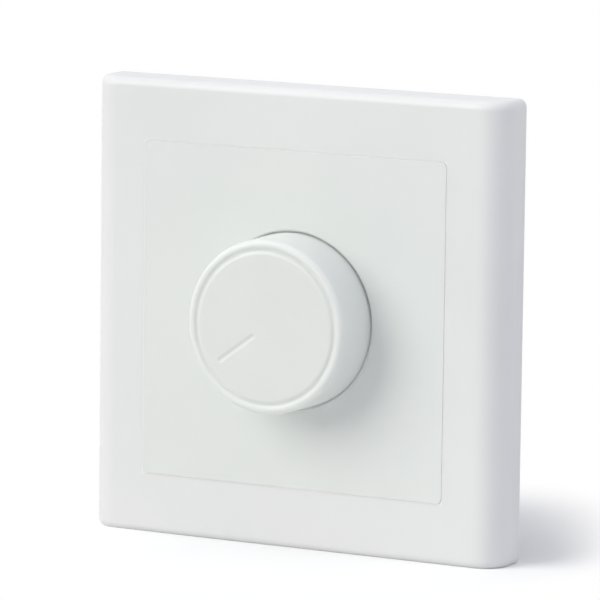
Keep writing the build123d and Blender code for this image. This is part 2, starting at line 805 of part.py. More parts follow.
# Two box capacitors with their leads
with BuildPart() as film_capacitor:
    with BuildSketch(room_plane(board_front)):
        with Locations((film_x, film_z)):
            Rectangle(film_width, film_depth)
    extrude(amount=film_height)
    with BuildSketch(room_plane(lead_end)):
        with Locations((film_x - film_pitch / 2, film_z), (film_x + film_pitch / 2, film_z)):
            Rectangle(lead_size, lead_size)
    extrude(amount=lead_end - board_front)
film_capacitor.part.label = "film_capacitor"
export_step(film_capacitor.part, "parts/film_capacitor.step")

with BuildPart() as timing_capacitor:
    with BuildSketch(room_plane(board_front)):
        with Locations((timing_x, timing_z)):
            Rectangle(timing_width, timing_depth)
    extrude(amount=timing_height)
    with BuildSketch(room_plane(lead_end)):
        with Locations((timing_x - timing_pitch / 2, timing_z), (timing_x + timing_pitch / 2, timing_z)):
            Rectangle(lead_thin, lead_thin)
    extrude(amount=lead_end - board_front)
timing_capacitor.part.label = "timing_capacitor"
export_step(timing_capacitor.part, "parts/timing_capacitor.step")

# Two resistors and a diac lying along Z, with their bent leads
axial_depth = board_front - axial_lift
resistor_feet = [(x, axial_z + side * resistor_span / 2) for x in resistor_xs for side in (-1, 1)]
with BuildPart() as resistors:
    with BuildSketch(Plane.XY.offset(axial_z)):
        with Locations(*[(x, axial_depth) for x in resistor_xs]):
            Circle(resistor_radius)
    extrude(amount=resistor_length / 2, both=True)
    with BuildSketch(Plane.XY.offset(axial_z)):
        with Locations(*[(x, axial_depth) for x in resistor_xs]):
            Rectangle(lead_thin, lead_thin)
    extrude(amount=(resistor_span + lead_thin) / 2, both=True)
    with BuildSketch(room_plane(lead_end)):
        with Locations(*resistor_feet):
            Rectangle(lead_thin, lead_thin)
    extrude(amount=lead_end - axial_depth)
resistors.part.label = "resistors"
export_step(resistors.part, "parts/resistors.step")

diac_feet = [(diac_x, axial_z - diac_span / 2), (diac_x, axial_z + diac_span / 2)]
with BuildPart() as diac:
    with BuildSketch(Plane.XY.offset(axial_z)):
        with Locations((diac_x, axial_depth)):
            Circle(diac_radius)
    extrude(amount=diac_length / 2, both=True)
    with BuildSketch(Plane.XY.offset(axial_z)):
        with Locations((diac_x, axial_depth)):
            Rectangle(lead_thin, lead_thin)
    extrude(amount=(diac_span + lead_thin) / 2, both=True)
    with BuildSketch(room_plane(lead_end)):
        with Locations(*diac_feet):
            Rectangle(lead_thin, lead_thin)
    extrude(amount=lead_end - axial_depth)
diac.part.label = "diac"
export_step(diac.part, "parts/diac.step")

# Fuse: glass tube, end caps, wire and the two clips that hold it
fuse_depth = board_front - fuse_lift
fuse_half = fuse_length / 2
fuse_glass_half = fuse_half - fuse_cap_wall
with BuildPart() as fuse_tube:
    with BuildSketch(Plane.XY.offset(fuse_z)):
        with Locations((fuse_x, fuse_depth)):
            Circle(fuse_glass_radius)
            Circle(fuse_bore_radius, mode=Mode.SUBTRACT)
    extrude(amount=fuse_glass_half, both=True)
fuse_tube.part.label = "fuse_tube"
export_step(fuse_tube.part, "parts/fuse_tube.step")

fuse_cap_mid = fuse_half - fuse_cap_length / 2
with BuildPart() as fuse_caps:
    with BuildSketch(Plane.XY.offset(fuse_z + fuse_cap_mid), Plane.XY.offset(fuse_z - fuse_cap_mid)):
        with Locations((fuse_x, fuse_depth)):
            Circle(fuse_radius)
    extrude(amount=fuse_cap_length / 2, both=True)
    with BuildSketch(Plane.XY.offset(fuse_z)):
        with Locations((fuse_x, fuse_depth)):
            Circle(fuse_glass_radius)
    extrude(amount=fuse_glass_half, both=True, mode=Mode.SUBTRACT)
fuse_caps.part.label = "fuse_caps"
export_step(fuse_caps.part, "parts/fuse_caps.step")

with BuildPart() as fuse_wire:
    with BuildSketch(Plane.XY.offset(fuse_z)):
        with Locations((fuse_x, fuse_depth)):
            Circle(fuse_wire_radius)
    extrude(amount=fuse_glass_half, both=True)
fuse_wire.part.label = "fuse_wire"
export_step(fuse_wire.part, "parts/fuse_wire.step")

fuse_clip_spots = [(fuse_x, fuse_z - fuse_cap_mid), (fuse_x, fuse_z + fuse_cap_mid)]
with BuildPart() as fuse_clips:
    with BuildSketch(room_plane(board_front)):
        with Locations(*fuse_clip_spots):
            Rectangle(fuse_clip_outer, fuse_clip_width)
    extrude(amount=fuse_clip_rise)
    with BuildSketch(room_plane(board_front - fuse_clip_wall)):
        with Locations(*fuse_clip_spots):
            Rectangle(2 * fuse_radius, fuse_clip_width)
    extrude(amount=fuse_clip_rise, mode=Mode.SUBTRACT)
    with BuildSketch(room_plane(lead_end)):
        with Locations(*fuse_clip_spots):
            Rectangle(lead_size, 2 * lead_size)
    extrude(amount=lead_end - board_front)
fuse_clips.part.label = "fuse_clips"
export_step(fuse_clips.part, "parts/fuse_clips.step")

# Wire clamps with their board pins
chamber_top = terminal_top - clamp_top
chamber_height = clamp_height + 2 * clamp_gap
chamber_bottom = chamber_top - chamber_height
clamp_z = (chamber_top + chamber_bottom) / 2
clamp_front = board_back + clamp_lift
clamp_back = case_back - terminal_back_wall
clamp_window = clamp_back - clamp_front - clamp_back_wall - clamp_front_wall
wire_depth = clamp_front + clamp_front_wall + clamp_window / 2
terminal_xs = [(i - (terminal_count - 1) / 2) * terminal_pitch for i in range(terminal_count)]
terminal_spots = [(x, clamp_z) for x in terminal_xs]
with BuildPart() as terminal_clamps:
    with BuildSketch(room_plane(clamp_back)):
        with Locations(*terminal_spots):
            Rectangle(clamp_width, clamp_height)
    extrude(amount=clamp_back - clamp_front)
    with BuildSketch(Plane.XY.offset(clamp_z)):
        with Locations(*[(x, wire_depth) for x in terminal_xs]):
            Rectangle(clamp_width - 2 * clamp_wall, clamp_window)
    extrude(amount=clamp_height / 2, both=True, mode=Mode.SUBTRACT)
    with BuildSketch(room_plane(clamp_back)):
        with Locations(*terminal_spots):
            Circle(terminal_screw_radius)
    extrude(amount=clamp_back_wall, mode=Mode.SUBTRACT)
    with BuildSketch(room_plane(clamp_front)):
        with Locations(*terminal_spots):
            Rectangle(terminal_pin_width, terminal_pin_thickness)
    extrude(amount=clamp_front - board_front + terminal_pin_stick)
terminal_clamps.part.label = "terminal_clamps"
export_step(terminal_clamps.part, "parts/terminal_clamps.step")

# Terminal block with wire holes below and screw holes behind
with BuildPart() as terminal_block:
    with BuildSketch(room_plane(case_back)):
        with Locations((0, (terminal_bottom + terminal_top) / 2)):
            Rectangle(terminal_block_width, terminal_block_height)
    extrude(amount=terminal_block_depth)
    with BuildSketch(room_plane(clamp_back)):
        with Locations(*terminal_spots):
            Rectangle(clamp_width + 2 * clamp_gap, chamber_height)
    extrude(amount=clamp_back - board_back, mode=Mode.SUBTRACT)
    with BuildSketch(Plane.XY.offset(terminal_bottom)):
        with Locations(*[(x, wire_depth) for x in terminal_xs]):
            Circle(wire_radius)
    extrude(amount=chamber_bottom - terminal_bottom, mode=Mode.SUBTRACT)
    with BuildSketch(room_plane(case_back)):
        with Locations(*terminal_spots):
            Circle(terminal_screw_hole_radius)
    extrude(amount=terminal_back_wall, mode=Mode.SUBTRACT)
terminal_block.part.label = "terminal_block"
export_step(terminal_block.part, "parts/terminal_block.step")

# Clamping screws
screw_top = case_back - terminal_screw_sunk
screw_neck = screw_top - terminal_screw_head
with BuildPart() as terminal_screws:
    with BuildSketch(room_plane(screw_top)):
        with Locations(*terminal_spots):
            Circle(terminal_screw_head_radius)
    extrude(amount=terminal_screw_head)
    with BuildSketch(room_plane(screw_neck)):
        with Locations(*terminal_spots):
            Circle(terminal_screw_radius)
    extrude(amount=screw_neck - clamp_back + clamp_back_wall + terminal_screw_reach)
    with BuildSketch(room_plane(screw_top)):
        with Locations(*terminal_spots):
            Rectangle(2 * terminal_screw_head_radius, screw_slot_width)
    extrude(amount=screw_slot_depth, mode=Mode.SUBTRACT)
terminal_screws.part.label = "terminal_screws"
export_step(terminal_screws.part, "parts/terminal_screws.step")

# Circuit board, pierced by every lead
with BuildPart() as circuit_board:
    with BuildSketch(room_plane(board_back)):
        Rectangle(board_size, board_size)
        with Locations(*post_spots):
            Circle(post_radius + board_post_gap, mode=Mode.SUBTRACT)
    extrude(amount=board_thickness)
    add(pot_terminals.part, mode=Mode.SUBTRACT)
    add(switch_contacts.part, mode=Mode.SUBTRACT)
    add(triac_leads.part, mode=Mode.SUBTRACT)
    add(choke_winding.part, mode=Mode.SUBTRACT)
    add(film_capacitor.part, mode=Mode.SUBTRACT)
    add(timing_capacitor.part, mode=Mode.SUBTRACT)
    add(resistors.part, mode=Mode.SUBTRACT)
    add(diac.part, mode=Mode.SUBTRACT)
    add(fuse_clips.part, mode=Mode.SUBTRACT)
    add(terminal_clamps.part, mode=Mode.SUBTRACT)
circuit_board.part.label = "circuit_board"
export_step(circuit_board.part, "parts/circuit_board.step")
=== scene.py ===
import math

import bpy
from mathutils import Matrix, Vector


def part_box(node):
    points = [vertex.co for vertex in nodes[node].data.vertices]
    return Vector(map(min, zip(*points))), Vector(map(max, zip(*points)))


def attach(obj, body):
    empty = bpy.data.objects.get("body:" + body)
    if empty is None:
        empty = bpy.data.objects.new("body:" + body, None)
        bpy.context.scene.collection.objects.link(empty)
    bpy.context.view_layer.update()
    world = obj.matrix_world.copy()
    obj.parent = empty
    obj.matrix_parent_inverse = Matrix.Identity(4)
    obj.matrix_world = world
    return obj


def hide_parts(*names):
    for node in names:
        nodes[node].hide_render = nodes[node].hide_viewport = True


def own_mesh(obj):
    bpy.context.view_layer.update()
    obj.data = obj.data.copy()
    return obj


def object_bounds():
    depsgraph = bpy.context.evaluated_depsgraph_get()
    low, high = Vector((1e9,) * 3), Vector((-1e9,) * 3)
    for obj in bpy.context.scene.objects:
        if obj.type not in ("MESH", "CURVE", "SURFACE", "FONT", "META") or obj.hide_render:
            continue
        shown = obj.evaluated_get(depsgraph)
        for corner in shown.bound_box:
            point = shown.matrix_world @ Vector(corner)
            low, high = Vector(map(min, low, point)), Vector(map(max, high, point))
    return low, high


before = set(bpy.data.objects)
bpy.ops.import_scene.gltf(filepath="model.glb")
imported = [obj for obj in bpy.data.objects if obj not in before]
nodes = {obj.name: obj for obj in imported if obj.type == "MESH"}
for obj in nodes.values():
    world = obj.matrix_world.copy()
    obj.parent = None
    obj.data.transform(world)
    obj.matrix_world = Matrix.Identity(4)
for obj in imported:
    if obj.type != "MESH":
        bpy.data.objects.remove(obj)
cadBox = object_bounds()
scene = bpy.context.scene
print("frame loaded,", len(nodes), "nodes")


# Small helpers for the finishes; every pattern is in metres on the piece itself

def startFinish(name):
    finish = bpy.data.materials.new(name)
    finish.use_nodes = True
    tree = finish.node_tree
    return finish, tree, tree.nodes["Principled BSDF"]


def piecePlace(tree, stretch=(1, 1, 1)):
    coords = tree.nodes.new("ShaderNodeTexCoord")
    mapping = tree.nodes.new("ShaderNodeMapping")
    mapping.inputs["Scale"].default_value = stretch
    tree.links.new(coords.outputs["Object"], mapping.inputs["Vector"])
    return mapping.outputs["Vector"]


def pieceAxis(tree, axis):
    coords = tree.nodes.new("ShaderNodeTexCoord")
    axes = tree.nodes.new("ShaderNodeSeparateXYZ")
    tree.links.new(coords.outputs["Object"], axes.inputs[0])
    return axes.outputs[axis]


def specks(tree, place, size, detail=2.0):
    noise = tree.nodes.new("ShaderNodeTexNoise")
    noise.inputs["Scale"].default_value = 1 / size
    noise.inputs["Detail"].default_value = detail
    tree.links.new(place, noise.inputs["Vector"])
    return noise.outputs["Fac"]


def spread(tree, pattern, low, high, fromLow=0.3, fromHigh=0.7):
    span = tree.nodes.new("ShaderNodeMapRange")
    span.inputs["From Min"].default_value = fromLow
    span.inputs["From Max"].default_value = fromHigh
    span.inputs["To Min"].default_value = low
    span.inputs["To Max"].default_value = high
    tree.links.new(pattern, span.inputs["Value"])
    return span.outputs["Result"]


def shade(tree, pattern, first, second, blend="MIX"):
    mix = tree.nodes.new("ShaderNodeMix")
    mix.data_type = "RGBA"
    mix.blend_type = blend
    for socket, value in (("A", first), ("B", second)):
        target = next(s for s in mix.inputs if s.name == socket and s.type == "RGBA")
        if isinstance(value, bpy.types.NodeSocket):
            tree.links.new(value, target)
        else:
            target.default_value = (*value, 1)
    tree.links.new(pattern, mix.inputs["Factor"])
    return next(s for s in mix.outputs if s.type == "RGBA")


def calc(tree, what, first, second):
    sums = tree.nodes.new("ShaderNodeMath")
    sums.operation = what
    for socket, value in zip(sums.inputs, (first, second)):
        if isinstance(value, bpy.types.NodeSocket):
            tree.links.new(value, socket)
        else:
            socket.default_value = value
    return sums.outputs[0]


# distance from the knob's axis
def fromAxis(tree):
    reach = tree.nodes.new("ShaderNodeVectorMath")
    reach.operation = "LENGTH"
    tree.links.new(piecePlace(tree, (1, 0, 1)), reach.inputs[0])
    return reach.outputs["Value"]


def within(tree, value, middle, half):
    away = calc(tree, "ABSOLUTE", calc(tree, "SUBTRACT", value, middle), 0)
    return calc(tree, "LESS_THAN", away, half)


def relief(tree, shader, pattern, height, strength):
    bump = tree.nodes.new("ShaderNodeBump")
    bump.inputs["Distance"].default_value = height
    bump.inputs["Strength"].default_value = strength
    tree.links.new(pattern, bump.inputs["Height"])
    tree.links.new(bump.outputs["Normal"], shader.inputs["Normal"])


def dress(finish, *names):
    for name in names:
        piece = nodes[name]
        piece.data.materials.clear()
        piece.data.materials.append(finish)


# Mouldings: a little unevenness of tone and gloss, and the grain of a spark-eroded mould

def moulding(name, look, paintedLight=None):
    finish, tree, shader = startFinish(name)
    place = piecePlace(tree)
    patches = specks(tree, place, look["patchSize"], detail=3.0)
    tone = shade(tree, spread(tree, patches, 0, 1), look["colour"], look["otherColour"])
    # painted light or painted shade where the mask says
    if paintedLight:
        tone = shade(tree, paintedLight(tree, look), tone, look["paintedLightColour"])
    tree.links.new(tone, shader.inputs["Base Color"])
    rough = spread(tree, specks(tree, place, look["rubSize"], detail=4.0), *look["roughness"])
    tree.links.new(rough, shader.inputs["Roughness"])
    shader.inputs["IOR"].default_value = look["ior"]
    if "through" in look:  # pale plastics let a little light through
        shader.inputs["Subsurface Weight"].default_value = look["through"]
        shader.inputs["Subsurface Scale"].default_value = look["throughDepth"]
        shader.inputs["Subsurface Radius"].default_value = (1, 1, 1)
    grain = specks(tree, place, look["grainSize"])
    relief(tree, shader, grain, look["grainHeight"], look["grainStrength"])
    return finish


# painted shade: within the pointer's reach the knob is painted darker behind its front face, which
# darkens the pointer groove
def pointerGrooveShade(tree, look):
    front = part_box("knob")[0].y
    deep = spread(tree, pieceAxis(tree, "Y"), 0, 1, front + look["shadeStart"], front + look["shadeFull"])
    return calc(tree, "MULTIPLY", deep, calc(tree, "LESS_THAN", fromAxis(tree), look["shadeReach"]))


# painted light: the sharp edges where plate and frame meet are painted paler, to lighten the shaded
# joint line between them
def paintedPaleSeatEdges(tree, look):
    sides = [calc(tree, "ABSOLUTE", pieceAxis(tree, axis), 0) for axis in "XZ"]
    return within(tree, calc(tree, "MAXIMUM", *sides), look["seatHalf"], look["seatBand"])


# painted light round the knob: 1 towards the bottom and 0 towards the top, so the lower side of the gap
# round the knob is painted pale
def paintedPaleBelow(tree, look):
    return spread(tree, pieceAxis(tree, "Z"), 1, 0, look["paleFullBelow"], look["paleGoneAbove"])


# painted light on the plate: the seat edges, and the well's rim towards the bottom, painted paler
def plateEdges(tree, look):
    rim = calc(tree, "LESS_THAN", fromAxis(tree), look["wellEdge"])
    paintedRim = calc(tree, "MULTIPLY", rim, paintedPaleBelow(tree, look))
    return calc(tree, "MAXIMUM", paintedPaleSeatEdges(tree, look), paintedRim)


frameLook = {
    "colour": (0.806, 0.808, 0.804),
    "otherColour": (0.782, 0.789, 0.787),
    "roughness": (0.40, 0.48),
    "ior": 1.49,
    "through": 0.3,
    "throughDepth": 0.001,
    "patchSize": 0.030,
    "rubSize": 0.006,
    "grainSize": 0.00035,
    "grainHeight": 0.000012,
    "grainStrength": 0.25,
    # painted light: pale tone of the seat edges, lightening the shaded joint line
    "paintedLightColour": (0.905, 0.913, 0.900),
    "seatHalf": 0.03146,
    "seatBand": 0.00010,
}
plateLook = {
    "colour": (0.785, 0.806, 0.785),
    "otherColour": (0.766, 0.790, 0.772),
    "roughness": (0.42, 0.50),
    "ior": 1.49,
    "through": 0.3,
    "throughDepth": 0.001,
    "patchSize": 0.022,
    "rubSize": 0.005,
    "grainSize": 0.00035,
    "grainHeight": 0.000012,
    "grainStrength": 0.25,
    # painted light: pale tone of the seat edges and of the well's rim towards the bottom
    "paintedLightColour": (0.905, 0.913, 0.900),
    "seatHalf": 0.03146,
    "seatBand": 0.00010,
    "wellEdge": 0.01700,
    "paleFullBelow": -0.008,
    "paleGoneAbove": 0.005,
}
knobLook = {
    "colour": (0.786, 0.806, 0.782),
    "otherColour": (0.768, 0.790, 0.768),
    "roughness": (0.38, 0.47),
    "ior": 1.49,
    "through": 0.6,
    "throughDepth": 0.002,
    "patchSize": 0.011,
    "rubSize": 0.004,
    "grainSize": 0.0003,
    "grainHeight": 0.000010,
    "grainStrength": 0.25,
    # painted shade in the pointer groove
    "paintedLightColour": (0.760, 0.779, 0.757),
    "shadeStart": 0.00002,
    "shadeFull": 0.00010,
    "shadeReach": 0.0127,
}
caseLook = {
    "colour": (0.560, 0.562, 0.548),
    "otherColour": (0.515, 0.518, 0.508),
    "roughness": (0.48, 0.62),
    "ior": 1.5,
    "patchSize": 0.014,
    "rubSize": 0.003,
    "grainSize": 0.00045,
    "grainHeight": 0.00003,
    "grainStrength": 0.45,
}
blockLook = {
    "colour": (0.052, 0.053, 0.057),
    "otherColour": (0.038, 0.039, 0.042),
    "roughness": (0.42, 0.60),
    "ior": 1.53,
    "patchSize": 0.004,
    "rubSize": 0.0016,
    "grainSize": 0.0004,
    "grainHeight": 0.00003,
    "grainStrength": 0.4,
}
nylonLook = {
    "colour": (0.800, 0.785, 0.720),
    "otherColour": (0.740, 0.720, 0.650),
    "roughness": (0.36, 0.50),
    "ior": 1.53,
    "through": 0.3,
    "throughDepth": 0.0008,
    "patchSize": 0.003,
    "rubSize": 0.0012,
    "grainSize": 0.0003,
    "grainHeight": 0.000015,
    "grainStrength": 0.3,
}
ferriteLook = {
    "colour": (0.110, 0.108, 0.112),
    "otherColour": (0.070, 0.069, 0.072),
    "roughness": (0.50, 0.72),
    "ior": 1.7,
    "patchSize": 0.0012,
    "rubSize": 0.0007,
    "grainSize": 0.00018,
    "grainHeight": 0.00002,
    "grainStrength": 0.6,
}
dress(moulding("frameWhite", frameLook, paintedPaleSeatEdges), "cover_frame")
dress(moulding("plateWhite", plateLook, plateEdges), "centre_plate")
dress(moulding("knobWhite", knobLook, pointerGrooveShade), "knob")
dress(moulding("caseGrey", caseLook), "module_case", "module_lid")
dress(moulding("blockBlack", blockLook), "terminal_block", "switch_case", "triac")
dress(moulding("nylonCream", nylonLook), "pot_rotor", "switch_plunger")
dress(moulding("ferriteGrey", ferriteLook), "choke_core")
print("mouldings done")


# Metals: clouds of dull and bright, and streaks that run as the piece was rolled or drawn

def metal(name, look, paintedLight=None):
    finish, tree, shader = startFinish(name)
    clouds = spread(tree, specks(tree, piecePlace(tree), look["cloudSize"], detail=4.0), 0, 1)
    tone = shade(tree, clouds, look["colour"], look["dullColour"])
    # painted light or painted shade where the mask says
    if paintedLight:
        tone = shade(tree, paintedLight(tree, look), tone, look["paintedLightColour"])
    tree.links.new(tone, shader.inputs["Base Color"])
    streaks = specks(tree, piecePlace(tree, look["drawn"]), look["streakSize"], detail=3.0)
    tree.links.new(spread(tree, streaks, *look["roughness"]), shader.inputs["Roughness"])
    shader.inputs["Metallic"].default_value = 1.0
    shader.inputs["Coat Weight"].default_value = look.get("coat", 0.0)
    relief(tree, shader, streaks, look["streakHeight"], look["streakStrength"])
    return finish


# painted shade in the slots of the terminal screws, which face backwards
def screwSlotShade(tree, look):
    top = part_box("terminal_screws")[1].y
    return calc(tree, "LESS_THAN", pieceAxis(tree, "Y"), top - look["slotShadeStart"])


zincLook = {
    "colour": (0.66, 0.67, 0.69),
    "dullColour": (0.55, 0.56, 0.57),
    # painted shade: dark tone in the screw slots
    "paintedLightColour": (0.13, 0.12, 0.11),
    "slotShadeStart": 0.00006,
    "roughness": (0.27, 0.44),
    "cloudSize": 0.007,
    "streakSize": 0.0007,
    "drawn": (0.06, 1, 1),
    "streakHeight": 0.000006,
    "streakStrength": 0.35,
}
nickelLook = {
    "colour": (0.69, 0.66, 0.61),
    "dullColour": (0.61, 0.58, 0.53),
    "roughness": (0.14, 0.27),
    "cloudSize": 0.003,
    "streakSize": 0.0005,
    "drawn": (1, 1, 1),
    "streakHeight": 0.000003,
    "streakStrength": 0.25,
}
castLook = {
    "colour": (0.60, 0.60, 0.61),
    "dullColour": (0.50, 0.50, 0.52),
    "roughness": (0.38, 0.56),
    "cloudSize": 0.002,
    "streakSize": 0.0004,
    "drawn": (1, 1, 1),
    "streakHeight": 0.00001,
    "streakStrength": 0.4,
}
sinkLook = {
    "colour": (0.75, 0.76, 0.77),
    "dullColour": (0.66, 0.67, 0.69),
    "roughness": (0.28, 0.46),
    "cloudSize": 0.005,
    "streakSize": 0.0005,
    "drawn": (0.04, 1, 1),
    "streakHeight": 0.000006,
    "streakStrength": 0.35,
}
springLook = {
    "colour": (0.42, 0.43, 0.46),
    "dullColour": (0.33, 0.33, 0.36),
    "roughness": (0.24, 0.40),
    "cloudSize": 0.001,
    "streakSize": 0.0003,
    "drawn": (1, 0.3, 1),
    "streakHeight": 0.000003,
    "streakStrength": 0.3,
}
brassLook = {
    "colour": (0.78, 0.60, 0.29),
    "dullColour": (0.64, 0.45, 0.20),
    "roughness": (0.22, 0.40),
    "cloudSize": 0.003,
    "streakSize": 0.0005,
    "drawn": (1, 0.1, 1),
    "streakHeight": 0.000004,
    "streakStrength": 0.3,
}
tinLook = {
    "colour": (0.70, 0.70, 0.68),
    "dullColour": (0.57, 0.57, 0.56),
    "roughness": (0.30, 0.50),
    "cloudSize": 0.0015,
    "streakSize": 0.0004,
    "drawn": (1, 0.2, 1),
    "streakHeight": 0.000004,
    "streakStrength": 0.3,
}
copperLook = {
    "colour": (0.72, 0.33, 0.15),
    "dullColour": (0.56, 0.22, 0.09),
    "roughness": (0.22, 0.36),
    "coat": 0.6,
    "cloudSize": 0.002,
    "streakSize": 0.0004,
    "drawn": (1, 1, 1),
    "streakHeight": 0.000003,
    "streakStrength": 0.2,
}
springSteel = metal("springSteel", springLook)
enamelCopper = metal("enamelCopper", copperLook)
dress(metal("brightZinc", zincLook), "support_plate", "case_screws", "triac_screw", "pot_can")
dress(metal("slottedZinc", zincLook, screwSlotShade), "terminal_screws")
dress(metal("nickelPlate", nickelLook), "pot_nut", "pot_washer", "fuse_caps")
dress(metal("castZinc", castLook), "pot_bushing")
dress(metal("sinkAluminium", sinkLook), "heat_sink")
dress(springSteel, "knob_spring_clip", "switch_spring")
dress(
    metal("contactBrass", brassLook),
    "switch_contacts", "switch_bridge", "fuse_clips", "terminal_clamps", "pot_wiper",
)
dress(metal("tinnedLead", tinLook), "pot_terminals", "triac_leads", "fuse_wire")
dress(enamelCopper, "choke_winding")


# Shaft: fine rings left by the lathe

shaftLook = {
    "colour": (0.76, 0.77, 0.78),
    "dullColour": (0.68, 0.69, 0.71),
    "roughness": (0.20, 0.38),
    "ringPitch": 0.00018,
    "ringHeight": 0.000004,
    "ringStrength": 0.35,
    "ringWander": 0.6,
    "ringDetail": 1.0,
    "cloudSize": 0.003,
}


def turnedShaft(name, look):
    finish, tree, shader = startFinish(name)
    clouds = spread(tree, specks(tree, piecePlace(tree), look["cloudSize"], detail=3.0), 0, 1)
    tone = shade(tree, clouds, look["colour"], look["dullColour"])
    tree.links.new(tone, shader.inputs["Base Color"])
    rings = tree.nodes.new("ShaderNodeTexWave")
    rings.bands_direction = "Y"
    rings.inputs["Scale"].default_value = math.pi / (10 * look["ringPitch"])  # one ring a pitch
    rings.inputs["Distortion"].default_value = look["ringWander"]
    rings.inputs["Detail"].default_value = look["ringDetail"]
    tree.links.new(piecePlace(tree), rings.inputs["Vector"])
    rough = spread(tree, rings.outputs["Fac"], *look["roughness"], 0, 1)
    tree.links.new(rough, shader.inputs["Roughness"])
    shader.inputs["Metallic"].default_value = 1.0
    relief(tree, shader, rings.outputs["Fac"], look["ringHeight"], look["ringStrength"])
    return finish


dress(turnedShaft("turnedShaft", shaftLook), "pot_shaft")
print("metals done")


# Lacquered and moulded pieces of the board, with their tinned leads

def lacquered(name, look, leadsOf):
    finish, tree, shader = startFinish(name)
    place = piecePlace(tree)
    patches = specks(tree, place, look["patchSize"], detail=3.0)
    tone = shade(tree, spread(tree, patches, 0, 1), look["colour"], look["otherColour"])
    for middle, colour in look.get("bands", ()):
        band = within(tree, pieceAxis(tree, "Z"), look["bandCentre"] + middle, look["bandHalf"])
        tone = shade(tree, band, tone, colour)
    lead = leadsOf(tree)
    tree.links.new(shade(tree, lead, tone, tinLook["colour"]), shader.inputs["Base Color"])
    tree.links.new(lead, shader.inputs["Metallic"])
    gloss = spread(tree, specks(tree, place, look["rubSize"], detail=3.0), *look["roughness"])
    tree.links.new(gloss, shader.inputs["Roughness"])
    ripple = specks(tree, place, look["rippleSize"])
    relief(tree, shader, ripple, look["rippleHeight"], look["rippleStrength"])
    return finish


leadLook = {"fromBoard": 0.00005, "fromBody": 0.00002}  # where the bare lead begins


def leadsBehind(tree):
    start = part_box("circuit_board")[0].y - leadLook["fromBoard"]
    return calc(tree, "GREATER_THAN", pieceAxis(tree, "Y"), start)


def leadsBeside(node, bodyLength):
    low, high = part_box(node)
    middle = (low.z + high.z) / 2
    half = bodyLength / 2 + leadLook["fromBody"]

    def leads(tree):
        return calc(tree, "SUBTRACT", 1, within(tree, pieceAxis(tree, "Z"), middle, half))
    return leads


filmLook = {
    "colour": (0.52, 0.085, 0.055),
    "otherColour": (0.43, 0.062, 0.042),
    "roughness": (0.18, 0.30),
    "patchSize": 0.004,
    "rubSize": 0.002,
    "rippleSize": 0.0022,
    "rippleHeight": 0.00005,
    "rippleStrength": 0.35,
}
timingLook = {
    "colour": (0.78, 0.54, 0.10),
    "otherColour": (0.70, 0.46, 0.07),
    "roughness": (0.26, 0.38),
    "patchSize": 0.003,
    "rubSize": 0.0015,
    "rippleSize": 0.0012,
    "rippleHeight": 0.00002,
    "rippleStrength": 0.3,
}
resistorLook = {
    "colour": (0.60, 0.43, 0.26),
    "otherColour": (0.54, 0.38, 0.22),
    "roughness": (0.22, 0.36),
    "patchSize": 0.002,
    "rubSize": 0.001,
    "rippleSize": 0.0009,
    "rippleHeight": 0.00002,
    "rippleStrength": 0.35,
    "bodyLength": 0.0062,
    "bandHalf": 0.00032,
    "bands": (
        (-0.0021, (0.16, 0.06, 0.02)),
        (-0.0010, (0.02, 0.02, 0.02)),
        (0.0001, (0.70, 0.22, 0.03)),
        (0.0020, (0.60, 0.44, 0.12)),
    ),
}
diacLook = {
    "colour": (0.10, 0.20, 0.43),
    "otherColour": (0.07, 0.15, 0.35),
    "roughness": (0.18, 0.32),
    "patchSize": 0.0015,
    "rubSize": 0.0008,
    "rippleSize": 0.0008,
    "rippleHeight": 0.00002,
    "rippleStrength": 0.3,
    "bodyLength": 0.0040,
}
resistorLook["bandCentre"] = sum(corner.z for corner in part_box("resistors")) / 2
dress(lacquered("dippedRed", filmLook, leadsBehind), "film_capacitor")
dress(lacquered("boxYellow", timingLook, leadsBehind), "timing_capacitor")
resistorLeads = leadsBeside("resistors", resistorLook["bodyLength"])
dress(lacquered("bandedTan", resistorLook, resistorLeads), "resistors")
diacLeads = leadsBeside("diac", diacLook["bodyLength"])
dress(lacquered("lacquerBlue", diacLook, diacLeads), "diac")


# Fuse tube: drawn glass, faintly wavy

glassLook = {
    "colour": (0.93, 0.96, 0.95),
    "otherColour": (0.88, 0.93, 0.92),
    "roughness": (0.01, 0.05),
    "ior": 1.5,
    "waveSize": 0.003,
    "drawn": (1, 1, 0.15),
    "waveHeight": 0.00002,
    "waveStrength": 0.15,
}


def drawnGlass(name, look):
    finish, tree, shader = startFinish(name)
    waves = specks(tree, piecePlace(tree, look["drawn"]), look["waveSize"], detail=1.0)
    tone = shade(tree, waves, look["colour"], look["otherColour"])
    tree.links.new(tone, shader.inputs["Base Color"])
    tree.links.new(spread(tree, waves, *look["roughness"]), shader.inputs["Roughness"])
    shader.inputs["IOR"].default_value = look["ior"]
    shader.inputs["Transmission Weight"].default_value = 1.0
    relief(tree, shader, waves, look["waveHeight"], look["waveStrength"])
    return finish


dress(drawnGlass("drawnGlass", glassLook), "fuse_tube")


# Circuit board: green mask over raised tracks, with the bare laminate at its edges

boardLook = {
    "colour": (0.030, 0.170, 0.070),
    "trackColour": (0.060, 0.270, 0.110),
    "edgeColour": (0.480, 0.430, 0.250),
    "roughness": (0.24, 0.36),
    "trackPitch": 0.0048,
    "trackWidth": 0.16,
    "trackHeight": 0.000035,
    "trackStrength": 0.6,
    "trackWander": 0.8,
    "edgeFacing": 0.5,
    "weaveSize": 0.0006,
}


